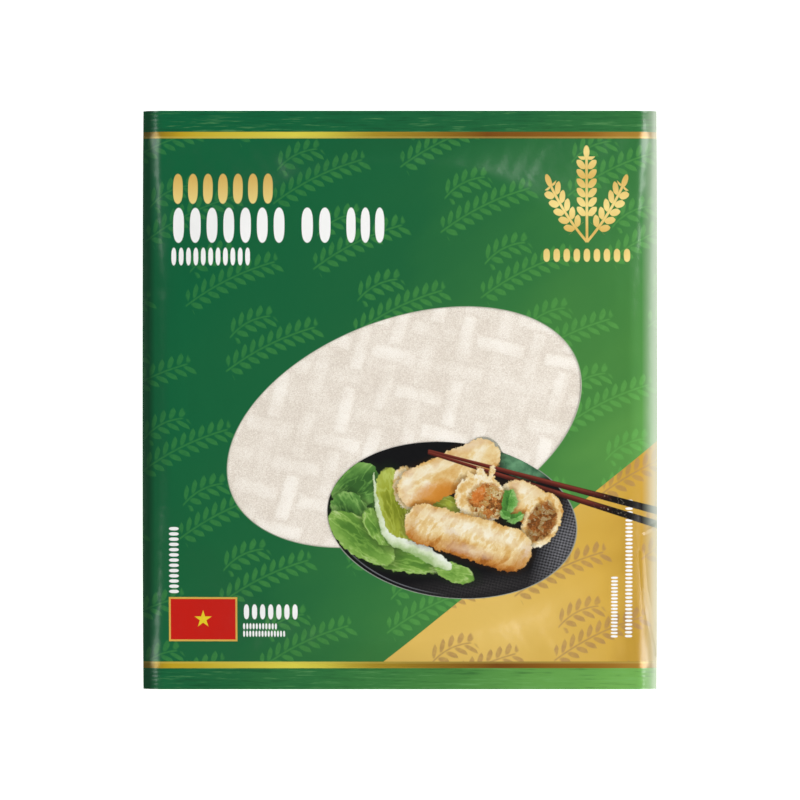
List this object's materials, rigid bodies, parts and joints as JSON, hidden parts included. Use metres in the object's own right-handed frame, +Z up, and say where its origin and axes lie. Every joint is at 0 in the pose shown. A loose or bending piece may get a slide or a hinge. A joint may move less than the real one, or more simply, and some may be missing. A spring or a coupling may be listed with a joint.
{
  "type": "rice paper packet",
  "caption": "Sealed printed film packet with welded ends and a clear oval window, lying flat, filled with a stack of round woven-pattern rice papers.",
  "frame": {"origin": "on the surface the packet lies on, under the middle of its outline", "axes": "+Z up out of the printed face, +Y along the long side towards the head of the packet, +X to its right as seen from the front"},
  "size_m": [0.24, 0.27, 0.0154],
  "materials": {
    "printed_film": "gloss film printed green, with gold stripes by its end welds",
    "clear_film": "clear gloss film",
    "rice_paper": "dry matt starch sheet with a pressed mat weave"
  },
  "bodies": {
    "root": {"film_pouch": "printed_film", "window_pane": "clear_film", "rice_paper_stack": "rice_paper"}
  },
  "joints": []
}
